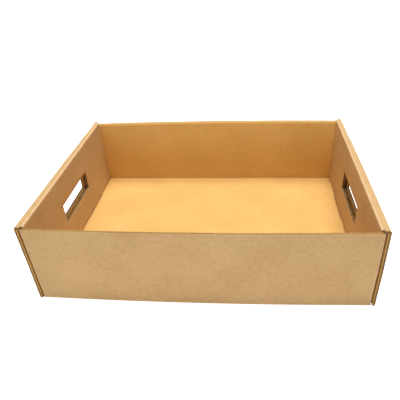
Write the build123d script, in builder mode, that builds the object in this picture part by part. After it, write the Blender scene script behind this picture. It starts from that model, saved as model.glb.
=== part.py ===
"""Roll-end cardboard tray with hand holes: one die-cut sheet of corrugated board, folded and locked.

The sheet is one piece. The long walls fold up from the floor and turn in at their ends as corner flaps.
Each end folds up outside those flaps, rolls over them in a narrow rim, and comes down inside as a lining
whose lock tabs sit in slots in the floor. +X runs along the tray, +Y to its back wall, +Z up. The origin
is the middle of the underside of the floor. All sizes are in millimetres.
"""

import os

from build123d import *

# Outside of the folded tray
LENGTH = 500.0  # over both outer end panels
WIDTH = 350.0  # over the front and back walls
HEIGHT = 137.0  # from the underside of the floor to the top of the end rims

# The board and its folds
BOARD = 3.0  # thickness of the corrugated sheet
CREASE = 0.5  # inside radius of every fold
LAYER_GAP = 0.3  # clearance between layers that lie against each other
FLAP_GAP = 3.0  # hollow between an outer end panel and the corner flaps behind it
RIM_GAP = 1.0  # clearance between a long wall's top edge and the rims that pass over it

# Hand holes, the same in both ends
HOLE_LENGTH = 110.0  # in the lining
HOLE_HEIGHT = 34.0
HOLE_BOTTOM = 54.0  # height of the lining's hole above the underside of the floor
HOLE_STEP = 2.5  # how much smaller the outer panel's hole is on each side

# Corner flaps: full height beside the hand hole, and a lower tongue that runs on under it
FRONT_STOP = 36.0  # from the middle of the end wall to the tip of the front flap's tongue
BACK_STOP = 24.0  # from the middle of the end wall to the tip of the back flap's tongue
FLAP_RELIEF = 1.0  # how far a flap stands back from the hand hole

# Lock tabs on the lining, two to each end
TAB_LENGTH = 75.0
TAB_SPACING = 135.0  # between the middles of an end's two tabs
TAB_RISE = 0.5  # how far the tabs stop above the underside of the floor
TAB_LEAD = 1.5  # bevel on the tabs' lower corners

# Planes that the panels share
fold = CREASE + BOARD  # outside radius of every fold
end_face = LENGTH / 2
side_face = WIDTH / 2
flap_face = end_face - BOARD - FLAP_GAP
lining_back = flap_face - BOARD - LAYER_GAP
lining_face = lining_back - BOARD
lining_half = side_face - BOARD - LAYER_GAP
side_height = HEIGHT - BOARD - RIM_GAP
flap_bottom = fold + LAYER_GAP
tongue_top = HOLE_BOTTOM - FLAP_RELIEF
shoulder_stop = HOLE_LENGTH / 2 + FLAP_RELIEF  # where a flap's full-height part ends
hole_middle = HOLE_BOTTOM + HOLE_HEIGHT / 2

with BuildPart() as tray:
    # Floor, between the folds along its four edges
    with BuildSketch():
        Rectangle(LENGTH - 2 * fold, WIDTH - 2 * fold)
    extrude(amount=BOARD)

    # Outer end panel and the flat of its rim: full width, one at each end
    with BuildSketch(Plane.XZ) as outer_end:
        with BuildLine():
            floor_fold = CenterArc((end_face - fold, fold), fold, -90, 90)
            panel = Line(floor_fold @ 1, (end_face, HEIGHT - fold))
            rim_fold = CenterArc((end_face - fold, HEIGHT - fold), fold, 0, 90)
            Line(rim_fold @ 1, (lining_face + fold, HEIGHT))
            offset(amount=BOARD, side=Side.LEFT)
        make_face()
        mirror(about=Plane.YZ)
    extrude(amount=side_face, both=True)

    # Lining, from the rim's inner fold down to the floor: narrower, to pass between the long walls
    with BuildSketch(Plane.XZ) as lining:
        with BuildLine():
            lining_fold = CenterArc((lining_face + fold, HEIGHT - fold), fold, 90, 90)
            Line(lining_fold @ 1, (lining_face, BOARD + LAYER_GAP))
            offset(amount=BOARD, side=Side.LEFT)
        make_face()
        mirror(about=Plane.YZ)
    extrude(amount=lining_half, both=True)

    # Folds at the feet of the long walls, up to where the corner flaps are cut free
    with BuildSketch(Plane.YZ) as feet:
        with BuildLine():
            foot_fold = CenterArc((side_face - fold, fold), fold, -90, 90)
            Line(foot_fold @ 1, (side_face, flap_bottom))
            offset(amount=BOARD, side=Side.LEFT)
        make_face()
        mirror(about=Plane.YZ)
    extrude(amount=flap_face, both=True)

    # Front wall (side -1) and back wall (side 1), each with its two corner flaps, seen from above as a
    # strip that turns in at both ends: once with the low tongues, once with the full-height parts
    for side, tongue_stop in ((-1, FRONT_STOP), (1, BACK_STOP)):
        for stop, top in ((tongue_stop, tongue_top), (shoulder_stop, side_height)):
            with BuildSketch(Plane.XY.offset(flap_bottom)):
                with BuildLine():
                    FilletPolyline(
                        (side * flap_face, side * stop),
                        (side * flap_face, side * side_face),
                        (-side * flap_face, side * side_face),
                        (-side * flap_face, side * stop),
                        radius=fold,
                    )
                    offset(amount=BOARD, side=Side.LEFT)
                make_face()
            extrude(amount=top - flap_bottom)

    # Hand holes: the smaller one through each outer panel, then the full one through each lining
    with BuildSketch(Plane.YZ):
        with Locations((0, hole_middle)):
            Rectangle(HOLE_LENGTH - 2 * HOLE_STEP, HOLE_HEIGHT - 2 * HOLE_STEP)
    extrude(amount=end_face, both=True, mode=Mode.SUBTRACT)
    with BuildSketch(Plane.YZ):
        with Locations((0, hole_middle)):
            Rectangle(HOLE_LENGTH, HOLE_HEIGHT)
    extrude(amount=lining_back, both=True, mode=Mode.SUBTRACT)

    # Slots in the floor, and the lock tabs of the linings that stand in them
    with BuildSketch():
        with GridLocations(lining_face + lining_back, TAB_SPACING, 2, 2):
            Rectangle(BOARD + 2 * LAYER_GAP, TAB_LENGTH + 2 * LAYER_GAP)
    extrude(amount=BOARD, mode=Mode.SUBTRACT)
    with BuildSketch(Plane.XY.offset(TAB_RISE)):
        with GridLocations(lining_face + lining_back, TAB_SPACING, 2, 2):
            Rectangle(BOARD, TAB_LENGTH)
    extrude(amount=BOARD + LAYER_GAP - TAB_RISE)
    tab_corners = tray.edges().filter_by(Axis.X).filter_by_position(Axis.Z, TAB_RISE, TAB_RISE)
    chamfer(tab_corners, length=TAB_LEAD)

tray.part.label = "tray"

os.makedirs("parts", exist_ok=True)
export_step(tray.part, "parts/tray.step")
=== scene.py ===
"""Looks of a roll-end corrugated cardboard tray: liners, fluted medium, rolled rims and kraft paper.

Lengths are in metres. +X runs along the tray, +Y to its back wall, +Z up, and the floor stands on z = 0.
"""

import math

import bpy
import numpy as np
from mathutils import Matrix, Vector


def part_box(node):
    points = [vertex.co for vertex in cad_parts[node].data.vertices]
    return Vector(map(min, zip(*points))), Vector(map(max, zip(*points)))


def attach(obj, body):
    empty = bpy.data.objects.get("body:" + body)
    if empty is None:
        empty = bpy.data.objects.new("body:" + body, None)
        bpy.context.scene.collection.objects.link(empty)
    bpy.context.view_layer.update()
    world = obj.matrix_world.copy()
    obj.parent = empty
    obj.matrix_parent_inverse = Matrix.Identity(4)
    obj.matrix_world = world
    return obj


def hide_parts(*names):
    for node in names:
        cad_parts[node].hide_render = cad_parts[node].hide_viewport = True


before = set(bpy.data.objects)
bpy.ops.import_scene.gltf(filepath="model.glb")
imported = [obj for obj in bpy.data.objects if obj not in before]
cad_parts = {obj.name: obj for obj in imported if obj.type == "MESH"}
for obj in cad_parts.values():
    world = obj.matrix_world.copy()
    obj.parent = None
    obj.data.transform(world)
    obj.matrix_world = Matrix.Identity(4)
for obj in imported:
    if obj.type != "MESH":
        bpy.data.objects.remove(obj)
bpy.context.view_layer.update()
_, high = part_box("tray")

# Sizes of the folded tray, from the frame
END = high[0]  # outside face of an outer end panel
SIDE = high[1]  # outside face of a long wall
TOP = high[2]  # top of the end rims

# Board and folds
BOARD = 0.003
FOLD = 0.0035  # outside radius of a fold
LAYER_GAP = 0.0003
FLAP_GAP = 0.003  # hollow between an outer end panel and the flap behind it
RIM_GAP = 0.001
LINER = 0.0003  # paper thickness of the two liners
MEDIUM = 0.0002  # paper thickness of the fluted medium
PITCH = 0.00535  # from flute to flute
FLUTE_HEIGHT = (BOARD - MEDIUM) / 2 - LINER  # from the board's middle to a flute's crest

# Hand holes, flaps and tabs
HOLE_HALF = 0.055
HOLE_LOW = 0.054
HOLE_HIGH = 0.088
HOLE_STEP = 0.0025  # how much smaller the outer panel's hole is on each side
FLAP_RELIEF = 0.001
FRONT_STOP = 0.036  # from the middle of the end to the tip of the front flap's tongue
BACK_STOP = 0.024
TAB_HALF = 0.0375
TAB_MIDDLE = 0.0675
TAB_RISE = 0.0005
SLOT_GAP = 0.0006

FLAP = END - BOARD - FLAP_GAP  # outside face of a corner flap
LINING_BACK = FLAP - BOARD - LAYER_GAP
LINING = LINING_BACK - BOARD  # face that lines the tray
LINING_HALF = SIDE - BOARD - LAYER_GAP
WALL_TOP = TOP - BOARD - RIM_GAP
FLAP_LOW = FOLD + LAYER_GAP
TONGUE_TOP = HOLE_LOW - FLAP_RELIEF
SHOULDER = HOLE_HALF + FLAP_RELIEF  # where a flap's full-height part ends
OUTER_HOLE_HALF = HOLE_HALF - HOLE_STEP
OUTER_HOLE_LOW = HOLE_LOW + HOLE_STEP
OUTER_HOLE_HIGH = HOLE_HIGH - HOLE_STEP
TAB_IN = TAB_MIDDLE - TAB_HALF
TAB_OUT = TAB_MIDDLE + TAB_HALF
SLOT_IN = LINING - SLOT_GAP
SLOT_OUT = LINING_BACK + SLOT_GAP

# Fineness of the meshes
LINER_STEP = 0.006
LINER_FOLD_STEPS = 5
FLUTE_LENGTH_STEP = 0.03
FLUTE_STEPS = 6  # across one flute
FLUTE_FOLD_STEPS = 4
RIM_STEP = 0.0015
TAB_STEP = 0.0014
NEAR = 1e-6

# How the tray has been bent in use
BOW_FRONT = 0.0045  # how far the front wall's middle stands out
BOW_BACK = 0.0065  # how far the back wall's top stands out
BOW_START = 0.35 * SIDE  # where the floor starts to follow the bow
BACK_SQUEEZE = 0.0022  # how far the outer end panels lean in at their back top corners
WAVE_HEIGHT = 0.0005
WALL_WAVE = 0.19
WALL_SEED = 11
END_WAVE = 0.15
END_WAVE_START = 0.8 * END
END_SEED = 12

# Paper patterns, in repeats to the metre
CLOUDS = 14.0
MOTTLE = 160.0
SPECKS = 420.0
GRAIN = 600.0
FIBRES = 1500.0
CUT_CLOUDS = 90.0
CUT_FIBRES = 900.0
RELIEF = 0.0002  # how deep the paper's bump reads

# Light
AMBIENT = 0.26  # from all round
FLOOR_GLOW = 0.85  # what the camera sees of the floor over its own light


# ---------------------------------------------------------------- folded sheet


def stations(start, stop, step, extra=()):
    """Evenly spaced values from start to stop, with the extra ones that lie between put in exactly."""
    count = max(1, round(abs(stop - start) / step))
    values = list(np.linspace(start, stop, count + 1))
    for value in extra:
        if min(start, stop) < value < max(start, stop):
            near = min(range(len(values)), key=lambda i: abs(values[i] - value))
            if 0 < near < len(values) - 1 and abs(values[near] - value) < 0.4 * abs(stop - start) / count:
                values[near] = value
            else:
                values.append(value)
    return sorted(set(round(v, 7) for v in values), reverse=stop < start)


def both_sides(marks):
    """Each mark and its mirror image."""
    return [mark * k for mark in marks for k in (-1, 1)]


class Path:
    """The outside face of the board in a section across its folds: straight runs and round folds."""

    def __init__(self, point, heading, length=0.0):
        self.rows = [(np.array(point, float), np.array(heading, float), length, 0.0)]

    def run(self, distance, step, cuts=()):
        """Straight on. cuts are distances along this run that need a row of their own."""
        point, heading, length, _ = self.rows[-1]
        for s in stations(0.0, distance, step, cuts)[1:]:
            self.rows.append((point + heading * s, heading, length + s, 0.0))
        return self

    def fold(self, steps):
        """A quarter turn to the left, towards the inside of the board."""
        point, heading, length, _ = self.rows[-1]
        left = np.array([-heading[1], heading[0]])
        middle = point + left * FOLD
        for i in range(1, steps + 1):
            turn = 0.5 * math.pi * i / steps
            c = math.cos(turn)
            s = math.sin(turn)
            spoke = (point - middle) * c + np.array([-(point - middle)[1], (point - middle)[0]]) * s
            bearing = heading * c + left * s
            crease = math.sin(math.pi * i / steps)
            self.rows.append((middle + spoke, bearing, length + FOLD * turn, crease))
        return self


class Blank:
    """Quads of the folded blank. Each corner has its outside point, the way through the board, its place
    on the flat blank and how creased it is. step runs along the flutes, across_step from flute to flute."""

    def __init__(self, step, across_step, fold_steps):
        self.point = []
        self.through = []
        self.flat = []
        self.crease = []
        self.quads = []
        self.step = step
        self.across_step = across_step
        self.fold_steps = fold_steps
        y_marks = (SIDE - FOLD, LINING_HALF, HOLE_HALF, OUTER_HOLE_HALF)
        tab_marks = (TAB_IN, TAB_OUT, TAB_IN - SLOT_GAP, TAB_OUT + SLOT_GAP)
        self.ys = stations(-SIDE, SIDE, across_step, both_sides(y_marks + tab_marks))
        x_marks = (SLOT_IN, SLOT_OUT, FLAP, FLAP - FOLD)
        self.xs = stations(-END + FOLD, END - FOLD, step, both_sides(x_marks))

    def add(self, rows, across, place, flat, keep):
        """Rows by across values. place gives 3-D from a 2-D point and an across value, flat the place on
        the flat blank, and keep says of a quad's middle whether the board is there."""
        first = len(self.point)
        for point, heading, length, crease in rows:
            inward = np.array([-heading[1], heading[0]])
            for t in across:
                origin = place(point, t)
                self.point.append(origin)
                self.through.append(place(point + inward, t) - origin)
                self.flat.append(flat(length, t))
                self.crease.append(crease)
        wide = len(across)
        for i in range(len(rows) - 1):
            middle = 0.5 * (rows[i][0] + rows[i + 1][0])
            length = 0.5 * (rows[i][2] + rows[i + 1][2])
            for j in range(wide - 1):
                if keep(middle, length, 0.5 * (across[j] + across[j + 1])):
                    a = first + i * wide + j
                    self.quads.append((a, a + wide, a + wide + 1, a + 1))

    def add_floor(self):
        """The floor, with the four slots that take the linings' tabs."""
        rows = [(np.array([x, 0.0]), np.array([1.0, 0.0]), x, 0.0) for x in self.xs]

        def is_board(middle, _, y):
            in_slot_x = SLOT_IN < abs(middle[0]) < SLOT_OUT
            in_slot_y = TAB_IN - SLOT_GAP < abs(y) < TAB_OUT + SLOT_GAP
            return not (in_slot_x and in_slot_y)

        self.add(
            rows,
            [y for y in self.ys if abs(y) <= SIDE - FOLD + NEAR],
            lambda p, y: np.array([p[0], y, p[1]]),
            lambda s, y: (s, y),
            is_board,
        )

    def add_ends(self):
        """Both ends: foot fold, outer panel, rim, and the lining with its hand hole and tabs."""
        end = Path((END - FOLD, 0.0), (1.0, 0.0))
        end.fold(self.fold_steps)
        end.run(TOP - 2 * FOLD, self.step, [OUTER_HOLE_LOW - FOLD, OUTER_HOLE_HIGH - FOLD])
        end.fold(self.fold_steps)
        end.run(END - LINING - 2 * FOLD, RIM_STEP)
        end.fold(self.fold_steps)
        lining_start = end.rows[-1][2]
        hole_cuts = [TOP - FOLD - HOLE_HIGH, TOP - FOLD - HOLE_LOW]
        end.run(TOP - FOLD - BOARD - LAYER_GAP, self.step, hole_cuts)
        lining_stop = end.rows[-1][2]
        end.run(BOARD + LAYER_GAP - TAB_RISE, TAB_STEP)
        rim_middle = lining_start - FOLD * math.pi / 2

        def is_board(middle, length, y):
            y = abs(y)
            if length < rim_middle:
                return not (y < OUTER_HOLE_HALF and OUTER_HOLE_LOW < middle[1] < OUTER_HOLE_HIGH)
            if length > lining_stop:
                return TAB_IN < y < TAB_OUT
            in_hole = length > lining_start and y < HOLE_HALF and HOLE_LOW < middle[1] < HOLE_HIGH
            return y < LINING_HALF and not in_hole

        for k in (-1, 1):
            self.add(
                end.rows,
                self.ys,
                lambda p, y, k=k: np.array([k * p[0], y, p[1]]),
                lambda s, y, k=k: (k * (END - FOLD + s), y),
                is_board,
            )

    def wall_path(self):
        """A long wall's foot fold and height."""
        wall = Path((SIDE - FOLD, 0.0), (1.0, 0.0))
        wall.fold(self.fold_steps)
        return wall.run(WALL_TOP - FOLD, self.across_step, [FLAP_LOW - FOLD, TONGUE_TOP - FOLD])

    def add_long_walls(self):
        """The front and back walls."""
        foot_stop = FOLD * math.pi / 2 + LAYER_GAP

        def is_board(_, length, x):
            return length < foot_stop or abs(x) < FLAP - FOLD

        for k in (-1, 1):
            self.add(
                self.wall_path().rows,
                [x for x in self.xs if abs(x) <= FLAP + NEAR],
                lambda p, x, k=k: np.array([x, k * p[0], p[1]]),
                lambda s, x, k=k: (x, k * (SIDE - FOLD + s)),
                is_board,
            )

    def add_corner_flaps(self):
        """The four flaps turned in from the ends of the long walls, with their low tongues."""
        foot_length = FOLD * math.pi / 2 - FOLD
        zs = [row[0][1] for row in self.wall_path().rows if row[0][1] >= FLAP_LOW - NEAR]

        def is_board(middle, _, z):
            return middle[1] < -SHOULDER or z < TONGUE_TOP

        for k, stop in ((-1, FRONT_STOP), (1, BACK_STOP)):
            flap = Path((FLAP - FOLD, -SIDE), (1.0, 0.0))
            flap.fold(self.fold_steps)
            flap.run(SIDE - FOLD - stop, self.step, [SIDE - FOLD - SHOULDER])
            for m in (-1, 1):
                self.add(
                    flap.rows,
                    zs,
                    lambda p, z, k=k, m=m: np.array([m * p[0], -k * p[1], z]),
                    lambda s, z, k=k, m=m: (m * (FLAP - FOLD + s), k * (SIDE - FOLD + foot_length + z)),
                    is_board,
                )


# ---------------------------------------------------------------- how the tray has been bent in use


def smooth(low_value, high_value, x):
    """0 up to low_value, 1 from high_value, and an even slope between."""
    t = np.clip((x - low_value) / (high_value - low_value), 0.0, 1.0)
    return t * t * (3.0 - 2.0 * t)


def waves(p, q, seed, scale, octaves=3):
    """Soft random waves over two coordinates, about -1 to 1, the same on each run."""
    draw = np.random.default_rng(seed)
    total = np.zeros_like(p)
    for octave in range(octaves):
        for _ in range(5):
            angle, shift = draw.uniform(0, 2 * math.pi, 2)
            pace = 2 * math.pi * (1.7**octave) * draw.uniform(0.7, 1.3) / scale
            total += np.sin(pace * (p * math.cos(angle) + q * math.sin(angle)) + shift) / (1.6**octave)
    return total / 5.0


def handled(points):
    """The tray's points after use: walls a little bowed, ends leaning, panels not quite flat."""
    x, y, z = points.T
    along = 1.0 - (x / END) ** 2
    front = smooth(BOW_START, SIDE, -y)
    back = smooth(BOW_START, SIDE, y)
    rise = np.clip(z / TOP, 0.0, 1.0)
    dy = -BOW_FRONT * along * front + BOW_BACK * along * back * rise
    outer = smooth(FLAP - 0.0005, END - BOARD, np.abs(x))
    dx = -np.sign(x) * BACK_SQUEEZE * outer * smooth(0.0, SIDE, y) * rise
    dy = dy + WAVE_HEIGHT * waves(x, z, WALL_SEED, WALL_WAVE) * (front + back) * rise
    at_ends = smooth(END_WAVE_START, END, np.abs(x))
    dx = dx + WAVE_HEIGHT * waves(y, z, END_SEED, END_WAVE) * at_ends * rise
    return points + np.stack([dx, dy, np.zeros_like(x)], axis=1)


# ---------------------------------------------------------------- nodes


class Value:
    """A socket that plain arithmetic works on: each operation adds its Math node."""

    def __init__(self, nodes, socket):
        self.nodes = nodes
        self.socket = socket

    def _math(self, operation, first, second=0.0):
        out = self.nodes.node("ShaderNodeMath", {"operation": operation}, _0=first, _1=second)
        return Value(self.nodes, out.outputs[0])

    def __add__(self, other):
        return self._math("ADD", self, other)

    def __sub__(self, other):
        return self._math("SUBTRACT", self, other)

    def __mul__(self, other):
        return self._math("MULTIPLY", self, other)

    def __truediv__(self, other):
        return self._math("DIVIDE", self, other)

    __radd__ = __add__
    __rmul__ = __mul__

    def sine(self):
        return self._math("SINE", self)


class Nodes:
    """A node tree, with one method that makes its nodes."""

    def __init__(self, tree):
        self.tree = tree

    def node(self, kind, settings=(), **inputs):
        """Inputs are named with _ for a space, or numbered as _0, _1 and so on."""
        made = self.tree.nodes.new(kind)
        for key, value in dict(settings).items():
            if key == "stops":
                self.set_stops(made.color_ramp, value)
            else:
                setattr(made, key, value)
        for key, value in inputs.items():
            socket = made.inputs[int(key[1:])] if key[1:].isdigit() else made.inputs[key.replace("_", " ")]
            self.put(socket, value)
        return made

    def set_stops(self, ramp, values):
        while len(ramp.elements) > 1:
            ramp.elements.remove(ramp.elements[-1])
        for i, (place, colour) in enumerate(values):
            element = ramp.elements[0] if i == 0 else ramp.elements.new(place)
            element.position = place
            element.color = (*colour, 1.0) if isinstance(colour, tuple) else (colour, colour, colour, 1.0)

    def put(self, socket, value):
        """A link where the value is a socket, or else the value itself."""
        if isinstance(value, Value):
            value = value.socket
        if isinstance(value, bpy.types.NodeSocket):
            self.tree.links.new(value, socket)
        elif isinstance(value, tuple) and len(value) == 3 and socket.type == "RGBA":
            socket.default_value = (*value, 1.0)
        else:
            socket.default_value = value

    def noise(self, vector, scale, detail=2.0, rough=0.5):
        made = self.node("ShaderNodeTexNoise", Vector=vector, Scale=scale, Detail=detail, Roughness=rough)
        return Value(self, made.outputs["Fac"])

    def ramp(self, value, stops):
        made = self.node("ShaderNodeValToRGB", {"stops": stops}, Fac=value)
        return Value(self, made.outputs["Color"])

    def mix(self, factor, first, second):
        made = self.node("ShaderNodeMix", {"data_type": "RGBA"}, _0=factor, _6=first, _7=second)
        return made.outputs[2]

    def seen(self):
        """1 where the camera looks, straight or by a reflection or through glass, and 0 for light."""
        path = self.node("ShaderNodeLightPath")
        labels = ("Is Camera Ray", "Is Glossy Ray", "Is Transmission Ray")
        straight, mirrored, through = (Value(self, path.outputs[label]) for label in labels)
        return straight + mirrored + through


class Paint(Nodes):
    """A material with a Principled surface."""

    def __init__(self, name):
        self.material = bpy.data.materials.new(name)
        self.material.use_nodes = True
        super().__init__(self.material.node_tree)

    def finish(self, **inputs):
        """The surface's inputs, named with _ for a space."""
        for key, value in inputs.items():
            self.put(self.tree.nodes["Principled BSDF"].inputs[key.replace("_", " ")], value)
        return self.material


# ---------------------------------------------------------------- materials


def kraft(name, colour, light, dark, washboard):
    """Kraft liner: mottled brown paper with fibres, fine specks, a faint washboard in bump and painted
    shade, and creases that are paler paper with a painted highlight.
    """
    s = Paint(name)
    sheet = s.node("ShaderNodeUVMap", {"uv_map": "sheet"}).outputs[0]
    across = Value(s, s.node("ShaderNodeSeparateXYZ", Vector=sheet).outputs[1])
    clouds = s.noise(sheet, CLOUDS, 3.0)
    mottle = s.noise(sheet, MOTTLE, 4.0, 0.6)
    stretched = s.node("ShaderNodeMapping", Vector=sheet, Scale=(0.35, 1.0, 1.0)).outputs[0]
    fibre = s.noise(stretched, FIBRES, 3.0, 0.7)
    grain = s.noise(sheet, GRAIN, 3.0, 0.6)
    flute = ((across * (2 * math.pi / PITCH)).sine() + 1.0) * 0.5
    tone = clouds * 0.30 + mottle * 0.34 + fibre * 0.22 + grain * 0.14
    # Painted shade of the washboard ridges: the colour goes lighter and darker in stripes along the flutes
    tone = tone + (flute - 0.5) * (0.035 * washboard)
    base = s.ramp(tone, [(0.36, dark), (0.5, colour), (0.64, light)])

    # Specks of bark
    spots = s.ramp(s.noise(sheet, SPECKS, 1.0, 0.4), [(0.0, 0.0), (0.735, 0.0), (0.775, 1.0)])
    base = s.mix(spots * 0.35, base, tuple(0.35 * c for c in dark))

    # Paper stretched over the folds is paler, and the same mark paints a highlight along the rounded folds
    # and rims
    crease = Value(s, s.node("ShaderNodeAttribute", {"attribute_name": "crease"}).outputs["Fac"])
    fold_pallor_and_highlight = s.ramp(crease * 0.75 + mottle * 0.5, [(0.62, 0.0), (1.0, 1.0)])
    base = s.mix(fold_pallor_and_highlight * 0.55, base, tuple(min(1.0, c * 1.25 + 0.16) for c in light))

    height = flute * (0.35 * washboard) + fibre * 0.16 + grain * 0.10 + mottle * 0.25
    bump = s.node("ShaderNodeBump", Height=height, Strength=0.35, Distance=RELIEF)
    return s.finish(
        Base_Color=base,
        Specular_IOR_Level=0.25,
        Roughness=0.80 + (fibre - 0.5) * 0.25,
        Normal=bump.outputs[0],
    )


def cut_paper(name, colour, dark):
    """Raw cut edges and the fluted medium: darker and fibrous, with no sheen."""
    s = Paint(name)
    place = s.node("ShaderNodeTexCoord").outputs["Object"]
    fibre = s.noise(place, CUT_FIBRES, 3.0, 0.7)
    clouds = s.noise(place, CUT_CLOUDS, 2.0)
    bump = s.node("ShaderNodeBump", Height=fibre, Strength=0.4, Distance=RELIEF)
    return s.finish(
        Base_Color=s.ramp(fibre * 0.6 + clouds * 0.4, [(0.35, dark), (0.65, colour)]),
        Specular_IOR_Level=0.1,
        Roughness=0.88 + (fibre - 0.5) * 0.15,
        Normal=bump.outputs[0],
    )


def white_floor():
    """White paper that the camera sees as white, and that keeps the tray's faint shadow."""
    s = Paint("white_floor")
    return s.finish(
        Base_Color=(0.9, 0.9, 0.9),
        Roughness=0.9,
        Emission_Color=s.mix(s.seen(), (0.0, 0.0, 0.0), (FLOOR_GLOW, FLOOR_GLOW, FLOOR_GLOW)),
        Emission_Strength=1.0,
    )


# ---------------------------------------------------------------- meshes


def add_object(name, data):
    obj = bpy.data.objects.new(name, data)
    bpy.context.scene.collection.objects.link(obj)
    return obj


def surface(name, blank, depth, faces_out, materials):
    """A mesh at one depth of the board, its doubles merged, with the marks that the materials read."""
    points = np.array(blank.point)
    through = np.array(blank.through)
    placed = handled(points + through * depth)
    at = {}
    new_of = {}
    kept = []
    for i in sorted({i for quad in blank.quads for i in quad}):
        key = tuple(np.round(points[i] + through[i] * BOARD / 2, 6))
        if key not in at:
            at[key] = len(kept)
            kept.append(i)
        new_of[i] = at[key]

    # Faces all turn to the same side of the board
    corners = np.array([[new_of[i] for i in quad] for quad in blank.quads])
    spots = placed[kept][corners]
    inwards = through[kept][corners].mean(axis=1)
    normals = np.cross(spots[:, 2] - spots[:, 0], spots[:, 3] - spots[:, 1])
    facing = -1.0 if faces_out else 1.0
    turned = facing * np.einsum("ij,ij->i", normals, inwards) < 0
    corners[turned] = corners[turned][:, ::-1]

    mesh = bpy.data.meshes.new(name)
    mesh.from_pydata([Vector(placed[i]) for i in kept], [], corners.tolist())
    flat = np.array(blank.flat)[kept]
    crease = np.array(blank.crease, np.float32)[kept]
    mesh.attributes.new("crease", "FLOAT", "POINT").data.foreach_set("value", crease)
    flat_and_zero = np.concatenate([flat, np.zeros((len(kept), 1))], axis=1)
    for label, vectors in (("through", through[kept]), ("flat", flat_and_zero)):
        values = mesh.attributes.new(label, "FLOAT_VECTOR", "POINT")
        values.data.foreach_set("vector", vectors.astype(np.float32).ravel())
    uv = mesh.uv_layers.new(name="sheet")
    loops = np.zeros(len(mesh.loops), dtype=np.int32)
    mesh.loops.foreach_get("vertex_index", loops)
    uv.data.foreach_set("uv", flat[loops].astype(np.float32).ravel())
    mesh.validate()
    for material in materials:
        mesh.materials.append(material)
    return add_object(name, mesh)


def settle(obj):
    """The object's mesh becomes its evaluated one, and its modifiers go."""
    bpy.context.view_layer.update()
    graph = bpy.context.evaluated_depsgraph_get()
    evaluated = obj.evaluated_get(graph)
    done = bpy.data.meshes.new_from_object(evaluated, preserve_all_data_layers=True, depsgraph=graph)
    obj.modifiers.clear()
    obj.data = done
    done.name = obj.name
    return obj


def thicken(obj, thickness):
    """Paper thickness, inwards from the surface, with the cut edges in the second material."""
    skin = obj.modifiers.new("paper", "SOLIDIFY")
    skin.thickness = thickness
    skin.offset = -1.0
    skin.material_offset_rim = 1
    skin.use_even_offset = False
    return settle(obj)


def fluting_tree(material):
    """Geometry Nodes that press flat paper into flutes: a sine wave across the sheet, through the board."""
    tree = bpy.data.node_groups.new("fluting", "GeometryNodeTree")
    tree.interface.new_socket("Geometry", in_out="INPUT", socket_type="NodeSocketGeometry")
    for label, value in (("Pitch", PITCH), ("Height", FLUTE_HEIGHT)):
        tree.interface.new_socket(label, in_out="INPUT", socket_type="NodeSocketFloat").default_value = value
    tree.interface.new_socket("Geometry", in_out="OUTPUT", socket_type="NodeSocketGeometry")
    g = Nodes(tree)
    given = g.node("NodeGroupInput").outputs
    named = {"data_type": "FLOAT_VECTOR"}
    flat = g.node("GeometryNodeInputNamedAttribute", named, Name="flat").outputs[0]
    through = g.node("GeometryNodeInputNamedAttribute", named, Name="through").outputs[0]
    across = Value(g, g.node("ShaderNodeSeparateXYZ", Vector=flat).outputs[1])
    rise = (across / given["Pitch"] * (2 * math.pi)).sine() * given["Height"]
    shift = g.node("ShaderNodeVectorMath", {"operation": "SCALE"}, _0=through, Scale=rise).outputs[0]
    moved = g.node("GeometryNodeSetPosition", Geometry=given["Geometry"], Offset=shift).outputs[0]
    whole = g.node("GeometryNodeRealizeInstances", Geometry=moved).outputs[0]
    finished = g.node("GeometryNodeSetMaterial", Geometry=whole, Material=material).outputs[0]
    g.node("NodeGroupOutput", _0=finished)
    return tree


# ---------------------------------------------------------------- the tray


def liner(name, depth, faces_out, face, edge):
    """One of the two flat papers, over the whole blank."""
    blank = Blank(LINER_STEP, LINER_STEP, LINER_FOLD_STEPS)
    blank.add_floor()
    blank.add_ends()
    blank.add_long_walls()
    blank.add_corner_flaps()
    return thicken(surface(name, blank, depth, faces_out, (face, edge)), LINER)


def fluted_medium(name, blank, material):
    """The fluted paper between the liners."""
    obj = surface(name, blank, BOARD / 2, True, (material, material))
    press = obj.modifiers.new("fluting", "NODES")
    press.node_group = fluting_tree(material)
    sockets = {item.name: item.identifier for item in press.node_group.interface.items_tree}
    press[sockets["Pitch"]] = PITCH
    press[sockets["Height"]] = FLUTE_HEIGHT
    return thicken(settle(obj), MEDIUM)


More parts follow.
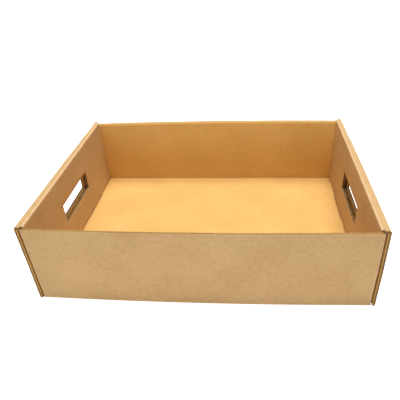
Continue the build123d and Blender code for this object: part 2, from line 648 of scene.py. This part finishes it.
def tray_pieces():
    """The board's two liners, and its medium in two pieces."""
    outer_kraft = kraft("outer_kraft", (0.55, 0.345, 0.155), (0.62, 0.40, 0.19), (0.47, 0.285, 0.12), 0.5)
    # The inner liner is a kraft paper of its own, and its deeper, more saturated colour also paints in the
    # coloured bounce light between the kraft walls inside the tray
    inner_kraft_with_bounce = kraft("inner_kraft_with_bounce", (0.72, 0.44, 0.14), (0.79, 0.50, 0.175), (0.64, 0.375, 0.11), 0.3)
    cut_kraft = cut_paper("cut_kraft", (0.40, 0.24, 0.10), (0.26, 0.15, 0.06))
    medium_kraft = cut_paper("medium_kraft", (0.33, 0.19, 0.08), (0.22, 0.12, 0.05))
    outer = liner("outer_liner", 0.0, True, outer_kraft, cut_kraft)
    inner = liner("inner_liner", BOARD, False, inner_kraft_with_bounce, cut_kraft)
    ends = Blank(FLUTE_LENGTH_STEP, PITCH / FLUTE_STEPS, FLUTE_FOLD_STEPS)
    ends.add_ends()
    rest = Blank(FLUTE_LENGTH_STEP, PITCH / FLUTE_STEPS, FLUTE_FOLD_STEPS)
    rest.add_floor()
    rest.add_long_walls()
    rest.add_corner_flaps()
    medium_ends = fluted_medium("fluting_ends", ends, medium_kraft)
    medium_walls = fluted_medium("fluting_walls", rest, medium_kraft)
    return outer, inner, medium_ends, medium_walls


# ---------------------------------------------------------------- floor, light and camera


def floor(half=6.0):
    mesh = bpy.data.meshes.new("floor")
    corners = [(-half, -half, 0.0), (half, -half, 0.0), (half, half, 0.0), (-half, half, 0.0)]
    mesh.from_pydata([Vector(corner) for corner in corners], [], [(0, 1, 2, 3)])
    mesh.materials.append(white_floor())
    add_object("floor", mesh)


def lamp(name, place, size, power):
    """A square soft box that faces the tray's middle."""
    light = bpy.data.lights.new(name, "AREA")
    light.shape = "SQUARE"
    light.size = size
    light.energy = power
    obj = add_object(name, light)
    obj.location = place
    obj.rotation_euler = (Vector((0.0, 0.0, 0.05)) - Vector(place)).to_track_quat("-Z", "Y").to_euler()


def surroundings():
    """Even light from all round, white to the camera."""
    world = bpy.data.worlds.new("studio")
    bpy.context.scene.world = world
    world.use_nodes = True
    s = Nodes(world.node_tree)
    background = world.node_tree.nodes["Background"]
    s.put(background.inputs["Color"], s.mix(s.seen(), (AMBIENT, AMBIENT, AMBIENT), (1.0, 1.0, 1.0)))
    background.inputs["Strength"].default_value = 1.0


def camera():
    """A wide lens close to the tray, looking down over the front wall."""
    data = bpy.data.cameras.new("camera")
    data.sensor_width = 36.0
    data.lens = 37.584
    data.shift_x = -0.03175
    data.shift_y = -0.0125
    data.clip_start = 0.01
    obj = add_object("camera", data)
    obj.location = (0.0723, -0.5999, 0.4754)
    obj.rotation_euler = (math.radians(56.331), math.radians(2.769), math.radians(4.408))
    bpy.context.scene.camera = obj


for piece in tray_pieces():
    piece.data.shade_smooth()
    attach(piece, "root")
    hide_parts("tray")

floor()
lamp("key", (0.1, 0.2, 2.2), 1.2, 58.0)
lamp("fill", (-0.3, -2.2, 0.35), 0.6, 14.0)
surroundings()
camera()
bpy.context.scene.view_settings.view_transform = "Standard"
